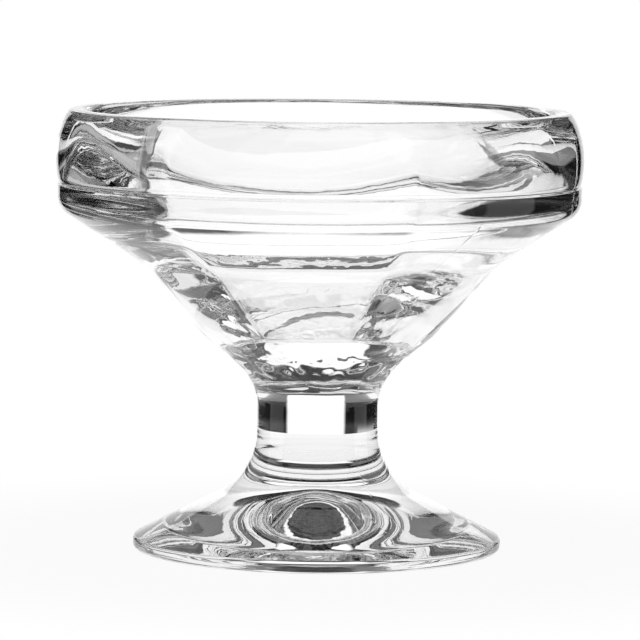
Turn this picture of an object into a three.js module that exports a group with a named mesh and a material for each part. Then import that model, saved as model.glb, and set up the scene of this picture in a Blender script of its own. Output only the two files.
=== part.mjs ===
// Ice cream cup in clear pressed glass: a bowl with six flat panels inside, a short stem and a foot, fused face to
// face. Millimetres, +Z up, origin at the middle of the foot's underside, front towards -Y.
import * as THREE from 'three';

const { clamp, degToRad, euclideanModulo, lerp } = THREE.MathUtils;

const CUP_HEIGHT = 83.5; // the stem takes up what the foot and the bowl leave

// Foot
const FOOT_DIAMETER = 70.1;
const FOOT_EDGE_HEIGHT = 2.2; // upright edge, measured between its unrounded corners
const FOOT_EDGE_ROUNDING = 1;
const FOOT_RISE = 12; // from the edge up to where the sloping top would meet the stem's side
const FOOT_FLARE_RADIUS = 17; // hollow sweep from the sloping top into the stem
const FOOT_HEIGHT = 15; // up to the face fused to the stem
const BEARING_WIDTH = 8.5; // flat ring that the cup stands on, measured between unrounded corners
const RECESS_DEPTH = 7.5; // cone inside the bearing ring
const RECESS_TIP = 2.65; // how round the cone's tip is, 0 for a sharp one
const RECESS_SWEEP = 1.2; // how much the cone sweeps out towards the ring, 1 for a straight one

// Stem
const STEM_DIAMETER = 23.1;

// Outside of the bowl, from the fused face up; corners are measured before they are rounded
const NECK_RISE = 1.4; // fused face to the corner between stem and bowl
const NECK_RADIUS = 8;
const BOTTOM_RISE = 9.4;
const BOTTOM_DIAMETER = 43;
const BOTTOM_RADIUS = 25;
const CONE_RISE = 14.5;
const CONE_DIAMETER = 68.4;
const CONE_RADIUS = 15;
const SHOULDER_RISE = 10.1;
const SHOULDER_DIAMETER = 99.3;
const SHOULDER_RADIUS = 7.5;
const BEAD_RISE = 4.4; // shoulder corner to the bead's upper edge
const GROOVE_DEPTH = 0.35;
const GROOVE_HEIGHT = 0.9;
const BAND_HEIGHT = 13.3; // groove to the rim's top
const BAND_BULGE_RISE = 4; // groove to the widest place of the barrel-shaped band
const BAND_DIAMETER = 100;
const BAND_RADIUS = 18.6; // of the barrel's curve
const LIP_ROUNDING = 1.2;

// Inside of the bowl, measured at the panel corners before they are eased
const RIM_WALL = 3.2;
const BAND_WALL = 6.5; // shoulder's side to the bottom of the inner wall
const INNER_SHOULDER_DROP = 0.4; // outer shoulder corner down to the inner one
const INNER_SHOULDER_RADIUS = 12;
const FLOOR_THICKNESS = 14; // fused face to the floor
const FLOOR_DIAMETER = 30.4;
const FLOOR_ROUNDING = 2.5;

// Panels pressed into the inside, which die out towards the round rim
const PANEL_COUNT = 6;
const PANEL_TURN = degToRad(22.5); // first panel corner, from the front towards +X
const PANEL_DEPTH = 0.75; // in the cone, as a share of a true flat's depth
const PANEL_FADE = 25.5; // height over which they die out
const CORNER_EASE = 0.1; // how far a panel corner is rounded off, as a share of its radius

// Mesh
const STEPS_PER_PANEL = 10;
const ARC_STEP = degToRad(15);
const RECESS_STEPS = 8;
const BAND_STEPS = 6;
const INSIDE_STEP = 3.5;

const stemRadius = STEM_DIAMETER / 2;
const footRadius = FOOT_DIAMETER / 2;
const bearingInner = footRadius - BEARING_WIDTH;
const shoulderRadius = SHOULDER_DIAMETER / 2;
const coneHeight = NECK_RISE + BOTTOM_RISE + CONE_RISE;
const collarHeight = SHOULDER_RISE + BEAD_RISE + GROOVE_HEIGHT + BAND_HEIGHT;
const bowlBase = CUP_HEIGHT - coneHeight - collarHeight;
const neckLevel = bowlBase + NECK_RISE;
const bottomLevel = neckLevel + BOTTOM_RISE;
const coneLevel = bottomLevel + CONE_RISE;
const shoulderLevel = coneLevel + SHOULDER_RISE;
const beadLevel = shoulderLevel + BEAD_RISE;
const grooveLevel = beadLevel + GROOVE_HEIGHT;
const rimLevel = grooveLevel + BAND_HEIGHT;
const floorLevel = bowlBase + FLOOR_THICKNESS;
const innerShoulderLevel = shoulderLevel - INNER_SHOULDER_DROP;

const at = (x, y, rounding = 0) => ({ point: new THREE.Vector2(x, y), rounding });

// Turns a run of corners into outline points, each corner rounded by an arc that touches both its sides.
// An arc never takes more than half of the shorter side.
function roundCorners(corners) {
  const outline = [corners[0].point];
  for (let i = 1; i < corners.length - 1; i += 1) {
    const { point, rounding } = corners[i];
    const back = corners[i - 1].point.clone().sub(point);
    const ahead = corners[i + 1].point.clone().sub(point);
    const room = Math.min(back.length(), ahead.length()) / 2;
    const half = Math.acos(clamp(back.normalize().dot(ahead.normalize()), -1, 1)) / 2;
    const reach = Math.min(rounding / Math.tan(half), room);
    if (reach < 1e-3) {
      outline.push(point);
      continue;
    }
    const start = point.clone().addScaledVector(back, reach);
    const end = point.clone().addScaledVector(ahead, reach);
    const bisector = back.clone().add(ahead).normalize();
    const centre = point.clone().addScaledVector(bisector, reach / Math.cos(half));
    const from = start.clone().sub(centre);
    const sweep = Math.sign(from.cross(end.clone().sub(centre))) * (Math.PI - 2 * half);
    const steps = Math.max(2, Math.ceil(Math.abs(sweep) / ARC_STEP));
    for (let step = 0; step <= steps; step += 1) {
      outline.push(from.clone().rotateAround(new THREE.Vector2(), (sweep * step) / steps).add(centre));
    }
  }
  outline.push(corners[corners.length - 1].point);
  return outline;
}

// Outer side from the foot's bearing ring up to the groove under the band
function sideOutline() {
  return roundCorners([
    at(bearingInner, 0),
    at(footRadius, 0, FOOT_EDGE_ROUNDING),
    at(footRadius, FOOT_EDGE_HEIGHT, FOOT_EDGE_ROUNDING),
    at(stemRadius, FOOT_EDGE_HEIGHT + FOOT_RISE, FOOT_FLARE_RADIUS),
    at(stemRadius, neckLevel, NECK_RADIUS),
    at(BOTTOM_DIAMETER / 2, bottomLevel, BOTTOM_RADIUS),
    at(CONE_DIAMETER / 2, coneLevel, CONE_RADIUS),
    at(shoulderRadius, shoulderLevel, SHOULDER_RADIUS),
    at(shoulderRadius, beadLevel),
    at(shoulderRadius - GROOVE_DEPTH, beadLevel + GROOVE_HEIGHT / 2),
  ]);
}

// Radius of the barrel-shaped band, drawn by one arc
function bandRadius(level) {
  const fromBulge = level - grooveLevel - BAND_BULGE_RISE;
  return BAND_DIAMETER / 2 - BAND_RADIUS + Math.sqrt(BAND_RADIUS ** 2 - fromBulge ** 2);
}

function bandOutline() {
  const outline = [];
  const lipLevel = rimLevel - LIP_ROUNDING;
  for (let step = 0; step <= BAND_STEPS; step += 1) {
    const level = lerp(grooveLevel, lipLevel, step / BAND_STEPS);
    outline.push(new THREE.Vector2(bandRadius(level), level));
  }
  return outline;
}

// Adds points so that no span of an outline is longer than the step
function divide(outline, step) {
  const result = [outline[0]];
  for (let i = 1; i < outline.length; i += 1) {
    const [from, to] = [outline[i - 1], outline[i]];
    const spans = Math.ceil(from.distanceTo(to) / step);
    for (let span = 1; span <= spans; span += 1) {
      result.push(from.clone().lerp(to, span / spans));
    }
  }
  return result;
}

// Rim and inside, from the band's top over the lip and down to the middle of the floor
function insideOutline() {
  const rimRadius = bandRadius(rimLevel);
  const lipStart = bandRadius(rimLevel - LIP_ROUNDING);
  const corners = roundCorners([
    at(lipStart, rimLevel - LIP_ROUNDING),
    at(rimRadius, rimLevel, LIP_ROUNDING),
    at(rimRadius - RIM_WALL, rimLevel, LIP_ROUNDING),
    at(shoulderRadius - BAND_WALL, innerShoulderLevel, INNER_SHOULDER_RADIUS),
    at(FLOOR_DIAMETER / 2, floorLevel, FLOOR_ROUNDING),
    at(0, floorLevel),
  ]);
  const middle = corners.pop();
  return [...divide(corners, INSIDE_STEP).slice(1), middle];
}

// Recess under the foot, from its tip out to the bearing ring
function recessOutline() {
  const outline = [];
  const fall = (radius) => Math.hypot(radius, RECESS_TIP) - RECESS_TIP;
  for (let step = 0; step < RECESS_STEPS; step += 1) {
    const radius = (bearingInner * step) / RECESS_STEPS;
    const left = 1 - fall(radius) / fall(bearingInner);
    outline.push(new THREE.Vector2(radius, RECESS_DEPTH * left ** RECESS_SWEEP));
  }
  return outline;
}

// Point where the climbing side outline passes a level
function sideAt(level) {
  const i = side.findIndex((point) => point.y >= level);
  const [below, above] = [side[i - 1], side[i]];
  const share = (level - below.y) / (above.y - below.y);
  return new THREE.Vector2(lerp(below.x, above.x, share), level);
}

// Side outline between two levels, with its ends cut level
function sideBetween(low, high) {
  return [sideAt(low), ...side.filter((point) => point.y > low && point.y < high), sideAt(high)];
}

// Solid of revolution about +Z; azimuth 0 faces the front
function revolve(outline) {
  const geometry = new THREE.LatheGeometry(outline, PANEL_COUNT * STEPS_PER_PANEL, PANEL_TURN);
  return geometry.rotateX(Math.PI / 2);
}

// Distance to the wall as a share of the corner's distance: 1 at a sharp corner, least in a panel's middle
function panelShare(azimuth) {
  const pitch = (2 * Math.PI) / PANEL_COUNT;
  const fromMiddle = euclideanModulo(azimuth - PANEL_TURN, pitch) - pitch / 2;
  const flat = Math.cos(pitch / 2) / Math.cos(fromMiddle);
  const round = 1 - CORNER_EASE / 2;
  const blend = Math.max(CORNER_EASE - Math.abs(flat - round), 0);
  return Math.min(flat, round) - blend ** 2 / (4 * CORNER_EASE);
}

// Presses the panels into the inside of the revolved bowl, whose outline turns inwards at the given point
function pressPanels(geometry, outline, firstInside) {
  const position = geometry.getAttribute('position');
  for (let i = 0; i < position.count; i += 1) {
    if (i % outline.length < firstInside) continue;
    const level = position.getZ(i);
    const faded = clamp(1 - (rimLevel - level) / PANEL_FADE, 0, 1);
    const share = panelShare(Math.atan2(position.getX(i), -position.getY(i)));
    const scale = lerp(1, share, PANEL_DEPTH * (1 - faded ** 2));
    position.setXY(i, position.getX(i) * scale, position.getY(i) * scale);
  }
  return geometry;
}

const side = sideOutline();
const glass = new THREE.MeshStandardMaterial({ color: 0xf3f7f6, roughness: 0.03, metalness: 0 });

function addPiece(group, name, geometry) {
  const mesh = new THREE.Mesh(geometry, glass.clone());
  mesh.name = name;
  group.add(mesh);
}

function bowlGeometry() {
  const lower = [sideAt(bowlBase), ...side.filter((point) => point.y > bowlBase)];
  const outside = [...lower, ...bandOutline()];
  const outline = [new THREE.Vector2(0, bowlBase), ...outside, ...insideOutline()];
  return pressPanels(revolve(outline), outline, outside.length + 1);
}

function stemGeometry() {
  const outside = sideBetween(FOOT_HEIGHT, bowlBase);
  return revolve([new THREE.Vector2(0, FOOT_HEIGHT), ...outside, new THREE.Vector2(0, bowlBase)]);
}

function footGeometry() {
  const outside = [...side.filter((point) => point.y < FOOT_HEIGHT), sideAt(FOOT_HEIGHT)];
  return revolve([...recessOutline(), ...outside, new THREE.Vector2(0, FOOT_HEIGHT)]);
}

const cup = new THREE.Group();
addPiece(cup, 'foot', footGeometry());
addPiece(cup, 'stem', stemGeometry());
addPiece(cup, 'bowl', bowlGeometry());

export default cup;
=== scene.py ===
"""Looks of a clear pressed-glass ice cream cup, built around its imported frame.

Metres, +Z up, front towards -Y. The cup's sizes are written in millimetres, and its mesh is scaled as it
is made.
"""
import math

import bpy
import numpy as np
from mathutils import Matrix, Vector, noise


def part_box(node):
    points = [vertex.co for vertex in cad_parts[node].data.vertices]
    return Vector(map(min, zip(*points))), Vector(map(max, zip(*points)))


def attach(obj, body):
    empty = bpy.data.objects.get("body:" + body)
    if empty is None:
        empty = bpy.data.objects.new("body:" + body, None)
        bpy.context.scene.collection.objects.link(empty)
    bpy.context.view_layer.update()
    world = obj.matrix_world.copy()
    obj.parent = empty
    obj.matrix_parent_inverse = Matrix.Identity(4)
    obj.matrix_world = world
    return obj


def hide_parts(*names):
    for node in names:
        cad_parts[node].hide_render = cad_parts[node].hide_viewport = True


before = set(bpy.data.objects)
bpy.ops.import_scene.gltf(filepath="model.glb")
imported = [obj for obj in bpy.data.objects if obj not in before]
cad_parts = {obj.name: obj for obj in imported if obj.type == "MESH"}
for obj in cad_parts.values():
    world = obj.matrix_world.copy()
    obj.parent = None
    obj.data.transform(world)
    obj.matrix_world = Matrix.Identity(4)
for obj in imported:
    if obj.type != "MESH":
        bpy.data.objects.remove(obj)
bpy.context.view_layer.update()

MM = 0.001

# Sizes that the frame gives
FOOT_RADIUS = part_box("foot")[1].x / MM
FOOT_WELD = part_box("foot")[1].z / MM
BOWL_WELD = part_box("bowl")[0].z / MM
RIM_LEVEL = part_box("bowl")[1].z / MM
BAND_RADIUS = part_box("bowl")[1].x / MM

# Foot and stem, with the round-tipped cone under the foot
FOOT_EDGE_HEIGHT = 2.2
FOOT_EDGE_ROUNDING = 1.0
FLARE_LEVEL = 14.2
FLARE_ROUNDING = 17.0
STEM_RADIUS = 11.55
BEARING_WIDTH = 8.5
RECESS_RADIUS = FOOT_RADIUS - BEARING_WIDTH
RECESS_DEPTH = 7.5
RECESS_TIP = 2.65
RECESS_SWEEP = 1.2

# Outside of the bowl: radius, level and rounding of each corner
NECK = (STEM_RADIUS, 30.9, 8.0)
BOTTOM = (21.5, 40.3, 25.0)
CONE = (34.2, 54.8, 15.0)
SHOULDER = (49.65, 64.9, 7.5)
BEAD = (49.65, 69.3, 0.35)
GROOVE = (49.3, 69.75, 0.3)
BAND_BASE = 70.2
BULGE_LEVEL = 74.2
BULGE_ROUNDING = 18.6
LIP_ROUNDING = 1.2
LIP_LEVEL = RIM_LEVEL - LIP_ROUNDING

# Inside of the bowl
RIM_WALL = 3.2
INNER_SHOULDER = (43.15, 64.5, 12.0)
FLOOR = (15.2, 43.5, 2.5)
PANEL_COUNT = 6
PANEL_TURN = math.radians(22.5)
PANEL_DEPTH = 0.75
PANEL_FADE_START = 58.0
FADE_POWER = 2.0
CORNER_EASE = 0.1

# Mould seams on the outside
SEAM_AZIMUTHS = (math.radians(37.0), math.radians(217.0))
SEAM_HEIGHT = 0.015
SEAM_WIDTH = math.radians(0.3)

# Slow unevenness of fire-polished glass, and flow marks where the bowl was pressed on the stem
WAVE_HEIGHT = 0.04
WAVE_LENGTH = 17.0
WAVE_FINER = 2.6
FLOW_HEIGHT = 1.2
FLOW_LENGTH = 4.0
FLOW_FINER = 1.8
FLOW_LEVEL = 36.1
FLOW_REACH = 3.0
RIPPLE_MIDDLE = 0.5
RIPPLE_BROAD = 0.35
RIPPLE_FINE = 0.15

# Mesh: longest span along the outline, columns round the cup, and spans of arcs and curves
ROW_STEP = 0.6
COLUMNS = 288
SEAM_COLUMNS = 4
ARC_STEP = 0.08
LEAST_ARC_SPANS = 3
CURVE_SPANS = 24
LEAST_ROUNDING = 1e-3
SAME_POINT = 1e-4
NO_LENGTH = 1e-12

# Glass, with a fine ripple of its skin: ripples per metre, and height in metres
GLASS_COLOUR = (0.995, 0.998, 0.997, 1.0)
GLASS_IOR = 1.52
SKIN_SCALE = 220.0
SKIN_DETAIL = 2.0
SKIN_STRENGTH = 0.04
SKIN_HEIGHT = 0.0004

# Studio lights: middle azimuth, half width, bottom, top and level. Angles in degrees, round from straight
# behind the cup towards +X, and up from level
BACK_WINDOW = (1.5, 20.0, -90.0, 21.0, 1.1)
LEFT_LIGHT = (-95.0, 17.0, -90.0, 75.0, 0.85)
RIGHT_LIGHT = (88.0, 15.0, -90.0, 17.0, 0.8)
LEFT_WALL = (-48.0, 30.0, 10.5, 50.0, 0.15)
RIGHT_WALL = (48.0, 26.0, 10.5, 50.0, 0.15)
FRONT_LIGHT = (180.0, 63.0, 35.0, 76.0, 0.8)
FRONT_TABLE = (180.0, 63.0, -90.0, -8.0, 0.65)
NEAR_TABLE = (0.0, 190.0, -90.0, -35.0, 1.0)
FAR_TABLE = (0.0, 190.0, -90.0, -23.0, 0.25)
SIDE_TABLE = (-46.0, 15.0, -90.0, -8.0, 0.5)
STUDIO = (
    BACK_WINDOW, LEFT_LIGHT, RIGHT_LIGHT, LEFT_WALL, RIGHT_WALL, FRONT_LIGHT,
    FRONT_TABLE, NEAR_TABLE, FAR_TABLE, SIDE_TABLE,
)
DARK_LEVEL = 0.008
EDGE_SOFTNESS = 1.5
HALF_TURN = 180.0

# Table top: radius in metres, gap under the cup in millimetres, share of plain white beside the cup, and
# where it fades to plain white as shares of its radius
TABLE_RADIUS = 0.13
TABLE_GAP = 0.1
TABLE_CORNERS = 128
TABLE_COLOUR = (0.9, 0.9, 0.9, 1.0)
WHITE = (1.0, 1.0, 1.0, 1.0)
TABLE_GLOW = 0.94
TABLE_FADE_START = 0.4
TABLE_FADE_END = 0.95

# Photograph's camera: place and aim in millimetres, focal length and shifts in pixels of the frame
FRAME_PIXELS = 640
CAMERA_BACK = 834.8
CAMERA_UP = 122.6
AIM_LEVEL = 41.84
FOCAL_PIXELS = 4412.6
ROLL = math.radians(0.557)
SHIFT_RIGHT = 1.56
SHIFT_DOWN = 8.89
SENSOR = 36.0

# Light paths through several walls of glass
ALL_BOUNCES = 32
TRANSMISSION_BOUNCES = 24
GLOSSY_BOUNCES = 16
TRANSPARENT_BOUNCES = 32


def rounded(corners):
    """Points along corners of (radius, level, rounding), each corner rounded by an arc."""
    points = [Vector(corners[0][:2])]
    for before, corner, after in zip(corners, corners[1:], corners[2:]):
        here = Vector(corner[:2])
        back = Vector(before[:2]) - here
        ahead = Vector(after[:2]) - here
        room = min(back.length, ahead.length) / 2
        half = back.angle(ahead) / 2
        reach = min(corner[2] / math.tan(half), room)
        if reach < LEAST_ROUNDING:
            points.append(here)
            continue
        back.normalize()
        ahead.normalize()
        centre = here + (back + ahead).normalized() * (reach / math.cos(half))
        start = here + back * reach - centre
        end = here + ahead * reach - centre
        turn = math.copysign(math.pi - 2 * half, start.x * end.y - start.y * end.x)
        spans = max(LEAST_ARC_SPANS, math.ceil(abs(turn) / ARC_STEP))
        points.extend(centre + Matrix.Rotation(turn * i / spans, 2) @ start for i in range(spans + 1))
    points.append(Vector(corners[-1][:2]))
    return points


def refined(points):
    """The same outline with no span longer than ROW_STEP."""
    result = [points[0]]
    for a, b in zip(points, points[1:]):
        length = (b - a).length
        if length > SAME_POINT:
            spans = math.ceil(length / ROW_STEP)
            result.extend(a.lerp(b, i / spans) for i in range(1, spans + 1))
    return result


def band_radius(level):
    """Radius of the barrel-shaped band."""
    return BAND_RADIUS - BULGE_ROUNDING + math.sqrt(BULGE_ROUNDING ** 2 - (level - BULGE_LEVEL) ** 2)


def recess_level(radius):
    """Level of the round-tipped cone under the foot."""
    fall = math.hypot(radius, RECESS_TIP) - RECESS_TIP
    whole_fall = math.hypot(RECESS_RADIUS, RECESS_TIP) - RECESS_TIP
    return RECESS_DEPTH * (1 - fall / whole_fall) ** RECESS_SWEEP


def outside_outline():
    """From the tip of the recess under the foot, round the foot and up to the lip."""
    radii = [RECESS_RADIUS * i / CURVE_SPANS for i in range(CURVE_SPANS)]
    side = rounded([
        (RECESS_RADIUS, 0.0, 0.0),
        (FOOT_RADIUS, 0.0, FOOT_EDGE_ROUNDING),
        (FOOT_RADIUS, FOOT_EDGE_HEIGHT, FOOT_EDGE_ROUNDING),
        (STEM_RADIUS, FLARE_LEVEL, FLARE_ROUNDING),
        NECK, BOTTOM, CONE, SHOULDER, BEAD, GROOVE,
        (band_radius(BAND_BASE), BAND_BASE, 0.0),
    ])
    levels = [BAND_BASE + (LIP_LEVEL - BAND_BASE) * i / CURVE_SPANS for i in range(1, CURVE_SPANS + 1)]
    recess = [Vector((radius, recess_level(radius))) for radius in radii]
    band = [Vector((band_radius(level), level)) for level in levels]
    return recess + side + band


def inside_outline():
    """From the lip down to the middle of the floor."""
    rim = band_radius(RIM_LEVEL)
    return rounded([
        (band_radius(LIP_LEVEL), LIP_LEVEL, 0.0),
        (rim, RIM_LEVEL, LIP_ROUNDING),
        (rim - RIM_WALL, RIM_LEVEL, LIP_ROUNDING),
        INNER_SHOULDER,
        FLOOR,
        (0.0, FLOOR[1], 0.0),
    ])[1:]


OUTSIDE = refined(outside_outline())
INSIDE = refined(inside_outline())
OUTLINE = np.array([point[:] for point in OUTSIDE + INSIDE])
FIRST_INSIDE = len(OUTSIDE)


def row_at(level):
    """Outline row where the climbing side passes a level, moved exactly there."""
    foot_edge = int(np.argmax(OUTLINE[:FIRST_INSIDE, 0] > FOOT_RADIUS - LEAST_ROUNDING))
    row = min(range(foot_edge, FIRST_INSIDE), key=lambda i: abs(OUTLINE[i, 1] - level))
    OUTLINE[row, 1] = level
    return row


def panel_share(azimuths):
    """Distance to the wall as a share of a panel corner's distance."""
    pitch = 2 * math.pi / PANEL_COUNT
    from_middle = np.mod(azimuths - PANEL_TURN, pitch) - pitch / 2
    flat = math.cos(pitch / 2) / np.cos(from_middle)
    corner = 1.0 - CORNER_EASE / 2
    blend = np.maximum(CORNER_EASE - np.abs(flat - corner), 0.0)
    return np.minimum(flat, corner) - blend ** 2 / (4 * CORNER_EASE)


def seam_lift(azimuths):
    """Height of the mould seams round the cup."""
    lift = np.zeros_like(azimuths)
    for seam in SEAM_AZIMUTHS:
        away = np.angle(np.exp(1j * (azimuths - seam)))
        lift += SEAM_HEIGHT * np.exp(-(away / SEAM_WIDTH) ** 2)
    return lift


def ripple(points, length, finer):
    """Smooth random heights between 0 and 1, with a finer ripple on top."""
    places = [Vector(p) / length for p in points.reshape(-1, 3)]
    heights = [
        RIPPLE_MIDDLE + RIPPLE_BROAD * noise.noise(p) + RIPPLE_FINE * noise.noise(p * finer)
        for p in places
    ]
    return np.array(heights).reshape(points.shape[:2])


def wave(points, outline_levels, within):
    """Depth of the glass's unevenness, with the flow marks on the outside only."""
    marked = np.where(within, 0.0, np.exp(-((outline_levels - FLOW_LEVEL) / FLOW_REACH) ** 2))
    flow = FLOW_HEIGHT * marked[:, None] * ripple(points, FLOW_LENGTH, FLOW_FINER)
    return WAVE_HEIGHT * ripple(points, WAVE_LENGTH, WAVE_FINER) + flow


def normals(points, azimuths):
    """Outward normals of a grid of points that closes on itself sideways."""
    gap_ahead = np.mod(np.roll(azimuths, -1) - azimuths, 2 * math.pi)[None, :, None]
    gap_behind = np.roll(gap_ahead, 1, axis=1)
    ahead = (np.roll(points, -1, axis=1) - points) / gap_ahead
    behind = (points - np.roll(points, 1, axis=1)) / gap_behind
    along = ahead * gap_behind + behind * gap_ahead
    outward = np.cross(along, np.gradient(points, axis=0))
    return outward / np.maximum(np.linalg.norm(outward, axis=2, keepdims=True), NO_LENGTH)


def columns():
    """Azimuths of the mesh's columns, closer together at the mould seams."""
    even = np.arange(COLUMNS) * 2 * math.pi / COLUMNS
    steps = range(-SEAM_COLUMNS, SEAM_COLUMNS + 1)
    near = [seam + SEAM_WIDTH * i / 2 for seam in SEAM_AZIMUTHS for i in steps]
    return np.unique(np.round(np.concatenate([even, near]), 6))


def surface(rows, azimuths):
    """Points of the glass surface, one line per outline row and one column per azimuth."""
    radius = OUTLINE[rows, 0][:, None]
    level = OUTLINE[rows, 1][:, None]
    within = (rows >= FIRST_INSIDE)[:, None]
    faded = np.clip((level - PANEL_FADE_START) / (RIM_LEVEL - PANEL_FADE_START), 0.0, 1.0)
    depth = PANEL_DEPTH * (1.0 - faded ** FADE_POWER)
    panels = 1.0 + (panel_share(azimuths) - 1.0) * depth
    side = ~within & (level > FOOT_EDGE_ROUNDING) & (level < SHOULDER[1])
    r = radius * np.where(within, panels, 1.0) + np.where(side, seam_lift(azimuths), 0.0)
    return np.stack(np.broadcast_arrays(r * np.sin(azimuths), -r * np.cos(azimuths), level), axis=2)


def glass_piece(name, first, last):
    """Closed mesh of the outline rows first to last, capped where it is fused to its neighbour."""
    azimuths = columns()
    # One row beyond each fused edge, so that the shading runs on into the neighbour
    low = max(first - 1, 0)
    high = min(last + 1, len(OUTLINE) - 1)
    rows = np.arange(low, high + 1)
    points = surface(rows, azimuths)
    uneven = wave(points, OUTLINE[rows, 1], rows >= FIRST_INSIDE)
    points = points - normals(points, azimuths) * uneven[:, :, None]
    outward = normals(points, azimuths)
    # A row on the axis is left out, for the one point in the middle of the fan that closes that end
    on_axis = OUTLINE[[first, last], 0] < SAME_POINT
    keep = slice(first - low + int(on_axis[0]), last - low + 1 - int(on_axis[1]))
    points = points[keep]
    outward = outward[keep].reshape(-1, 3)
    lines, n = points.shape[:2]
    grid = np.arange(lines * n).reshape(lines, n)
    turned = np.roll(grid, -1, axis=1)
    quads = np.stack([grid[:-1], turned[:-1], turned[1:], grid[1:]], axis=2).reshape(-1, 4)
    middles = np.array([lines * n, lines * n + 1])
    lower = np.stack([np.full(n, middles[0]), turned[0], grid[0]], axis=1)
    upper = np.stack([grid[-1], turned[-1], np.full(n, middles[1])], axis=1)
    ends = np.array([[0.0, 0.0, points[0, :, 2].mean()], [0.0, 0.0, points[-1, :, 2].mean()]])
    # Smooth shading on the glass, and flat shading on the fused faces
    shading = np.concatenate([outward, [[0.0, 0.0, -1.0], [0.0, 0.0, 1.0]]])
    loops = [shading[quads.ravel()]]
    for fan, middle, is_pole in zip((lower, upper), middles, on_axis):
        flat = np.repeat(shading[[middle]], fan.size, axis=0)
        loops.append(shading[fan.ravel()] if is_pole else flat)
    mesh = bpy.data.meshes.new(name)
    vertices = np.concatenate([points.reshape(-1, 3), ends]) * MM
    mesh.from_pydata(vertices.tolist(), [], quads.tolist() + lower.tolist() + upper.tolist())
    welds = [0] * len(quads) + [int(not on_axis[0])] * n + [int(not on_axis[1])] * n
    mesh.polygons.foreach_set("material_index", welds)
    mesh.polygons.foreach_set("use_smooth", [True] * len(mesh.polygons))
    mesh.normals_split_custom_set(np.concatenate(loops).tolist())
    piece = bpy.data.objects.new(name, mesh)
    bpy.context.scene.collection.objects.link(piece)
    return piece


class Tree:
    """Short calls that add nodes to one node tree."""

    def __init__(self, owner):
        owner.use_nodes = True
        self.tree = owner.node_tree
        self.tree.nodes.clear()

    def add(self, kind, settings=(), **inputs):
        """A node with its settings, and its inputs by name with _ for a space."""
        node = self.tree.nodes.new(kind)
        for key, value in dict(settings).items():
            setattr(node, key, value)
        for key, value in inputs.items():
            self.feed(node.inputs[key.replace("_", " ")], value)
        return node

    def feed(self, socket, value):
        """Links a socket to an input, or sets the input's value."""
        if isinstance(value, bpy.types.NodeSocket):
            self.tree.links.new(value, socket)
        else:
            socket.default_value = value

    def math(self, operation, *values):
        """Result of one sum."""
        node = self.tree.nodes.new("ShaderNodeMath")
        node.operation = operation
        for socket, value in zip(node.inputs, values):
            self.feed(socket, value)
        return node.outputs[0]

    def step(self, value, low, high):
        """0 below low, 1 above high (or the other way round if low is above high), smooth between."""
        node = self.add("ShaderNodeMapRange", {"interpolation_type": "SMOOTHSTEP"}, Value=value)
        node.inputs["From Min"].default_value = low
        node.inputs["From Max"].default_value = high
        return node.outputs[0]


def glass_material():
    """Clear glass whose skin ripples faintly."""
    material = bpy.data.materials.new("clear_glass")
    tree = Tree(material)
    place = tree.add("ShaderNodeTexCoord").outputs["Object"]
    skin = tree.add("ShaderNodeTexNoise", Vector=place, Scale=SKIN_SCALE, Detail=SKIN_DETAIL).outputs[0]
    bump = tree.add("ShaderNodeBump", Height=skin, Strength=SKIN_STRENGTH, Distance=SKIN_HEIGHT).outputs[0]
    shader = tree.add("ShaderNodeBsdfPrincipled", Normal=bump, Roughness=0.0, IOR=GLASS_IOR)
    shader.inputs["Base Color"].default_value = GLASS_COLOUR
    shader.inputs["Transmission Weight"].default_value = 1.0
    tree.add("ShaderNodeOutputMaterial", Surface=shader.outputs[0])
    return material


def weld_material():
    """Fused faces inside the glass, which don't show."""
    material = bpy.data.materials.new("fused_face")
    tree = Tree(material)
    tree.add("ShaderNodeOutputMaterial", Surface=tree.add("ShaderNodeBsdfTransparent").outputs[0])
    return material


def studio_world():
    """White window behind the cup, soft lights beside it and above the camera, a white table, dark between.

    The background that the camera sees is plain white.
    """
    world = bpy.data.worlds.new("studio")
    bpy.context.scene.world = world
    tree = Tree(world)
    direction = tree.add("ShaderNodeTexCoord").outputs["Generated"]
    x, y, z = tree.add("ShaderNodeSeparateXYZ", Vector=direction).outputs
    azimuth = tree.math("DEGREES", tree.math("ARCTAN2", x, y))
    height = tree.math("DEGREES", tree.math("ARCSINE", z))
    level = DARK_LEVEL
    for middle, half_width, bottom, top, strength in STUDIO:
        turned = tree.math("WRAP", tree.math("SUBTRACT", azimuth, middle), HALF_TURN, -HALF_TURN)
        away = tree.math("ABSOLUTE", turned)
        across = tree.step(away, half_width + EDGE_SOFTNESS, half_width - EDGE_SOFTNESS)
        above = tree.step(height, bottom - EDGE_SOFTNESS, bottom + EDGE_SOFTNESS)
        below = tree.step(height, top + EDGE_SOFTNESS, top - EDGE_SOFTNESS)
        share = tree.math("MULTIPLY", across, tree.math("MULTIPLY", above, below))
        level = tree.math("MAXIMUM", level, tree.math("MULTIPLY", share, strength))
    seen = tree.add("ShaderNodeLightPath").outputs["Is Camera Ray"]
    level = tree.math("MULTIPLY_ADD", seen, tree.math("SUBTRACT", 1.0, level), level)
    background = tree.add("ShaderNodeBackground", Color=level)
    tree.add("ShaderNodeOutputWorld", Surface=background.outputs[0])


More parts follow.
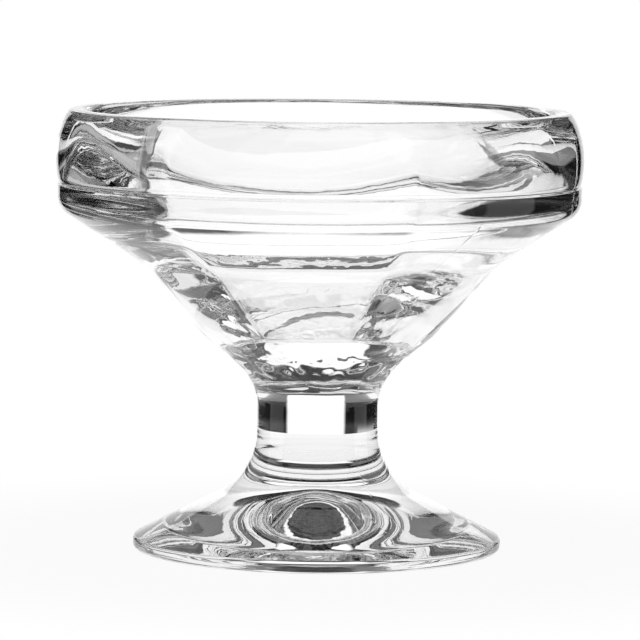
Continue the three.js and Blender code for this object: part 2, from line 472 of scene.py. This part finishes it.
def floor():
    """Pale round table top that keeps the cup's shadow and fades into the white around it."""
    mesh = bpy.data.meshes.new("table_top")
    angles = [2 * math.pi * i / TABLE_CORNERS for i in range(TABLE_CORNERS)]
    corners = [(TABLE_RADIUS * math.sin(a), TABLE_RADIUS * math.cos(a), 0.0) for a in angles]
    mesh.from_pydata(corners, [], [list(range(TABLE_CORNERS - 1, -1, -1))])
    material = bpy.data.materials.new("table_top")
    tree = Tree(material)
    lit = tree.add("ShaderNodeBsdfDiffuse", Color=TABLE_COLOUR)
    glow = tree.add("ShaderNodeEmission", Color=WHITE)
    place = tree.add("ShaderNodeTexCoord").outputs["Object"]
    away = tree.add("ShaderNodeVectorMath", {"operation": "LENGTH"}, Vector=place).outputs["Value"]
    fade = tree.step(away, TABLE_FADE_START * TABLE_RADIUS, TABLE_FADE_END * TABLE_RADIUS)
    share = tree.math("MULTIPLY_ADD", fade, 1.0 - TABLE_GLOW, TABLE_GLOW)
    path = tree.add("ShaderNodeLightPath").outputs
    shown = tree.math("MAXIMUM", path["Is Camera Ray"], path["Is Transmission Ray"])
    shown = tree.math("MAXIMUM", shown, path["Is Glossy Ray"])
    mixed = tree.add("ShaderNodeMixShader", Fac=tree.math("MULTIPLY", share, shown))
    tree.feed(mixed.inputs[1], lit.outputs[0])
    tree.feed(mixed.inputs[2], glow.outputs[0])
    tree.add("ShaderNodeOutputMaterial", Surface=mixed.outputs[0])
    mesh.materials.append(material)
    table = bpy.data.objects.new("table_top", mesh)
    table.location.z = -TABLE_GAP * MM
    bpy.context.scene.collection.objects.link(table)


def photo_camera():
    """Camera at the photograph's angle and framing."""
    camera = bpy.data.cameras.new("photo_camera")
    camera.sensor_fit = "HORIZONTAL"
    camera.sensor_width = SENSOR
    camera.lens = FOCAL_PIXELS * SENSOR / FRAME_PIXELS
    camera.shift_x = SHIFT_RIGHT / FRAME_PIXELS
    camera.shift_y = SHIFT_DOWN / FRAME_PIXELS
    eye = Vector((0.0, -CAMERA_BACK, CAMERA_UP)) * MM
    forward = (Vector((0.0, 0.0, AIM_LEVEL)) * MM - eye).normalized()
    right = Vector((1.0, 0.0, 0.0))
    up = right.cross(forward)
    turned_right = right * math.cos(ROLL) + up * math.sin(ROLL)
    turned_up = up * math.cos(ROLL) - right * math.sin(ROLL)
    place = Matrix((turned_right, turned_up, -forward)).transposed().to_4x4()
    place.translation = eye
    holder = bpy.data.objects.new("photo_camera", camera)
    holder.matrix_world = place
    bpy.context.scene.collection.objects.link(holder)
    bpy.context.scene.camera = holder


foot_weld = row_at(FOOT_WELD)
bowl_weld = row_at(BOWL_WELD)
glass = glass_material()
fused = weld_material()
for node, first, last in (
    ("foot", 0, foot_weld),
    ("stem", foot_weld, bowl_weld),
    ("bowl", bowl_weld, len(OUTLINE) - 1),
):
    piece = glass_piece("glass_" + node, first, last)
    piece.data.materials.append(glass)
    piece.data.materials.append(fused)
    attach(piece, "root")
    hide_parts(node)

floor()
studio_world()
photo_camera()

scene = bpy.context.scene
scene.view_settings.view_transform = "Standard"
scene.cycles.max_bounces = ALL_BOUNCES
scene.cycles.transmission_bounces = TRANSMISSION_BOUNCES
scene.cycles.glossy_bounces = GLOSSY_BOUNCES
scene.cycles.transparent_max_bounces = TRANSPARENT_BOUNCES
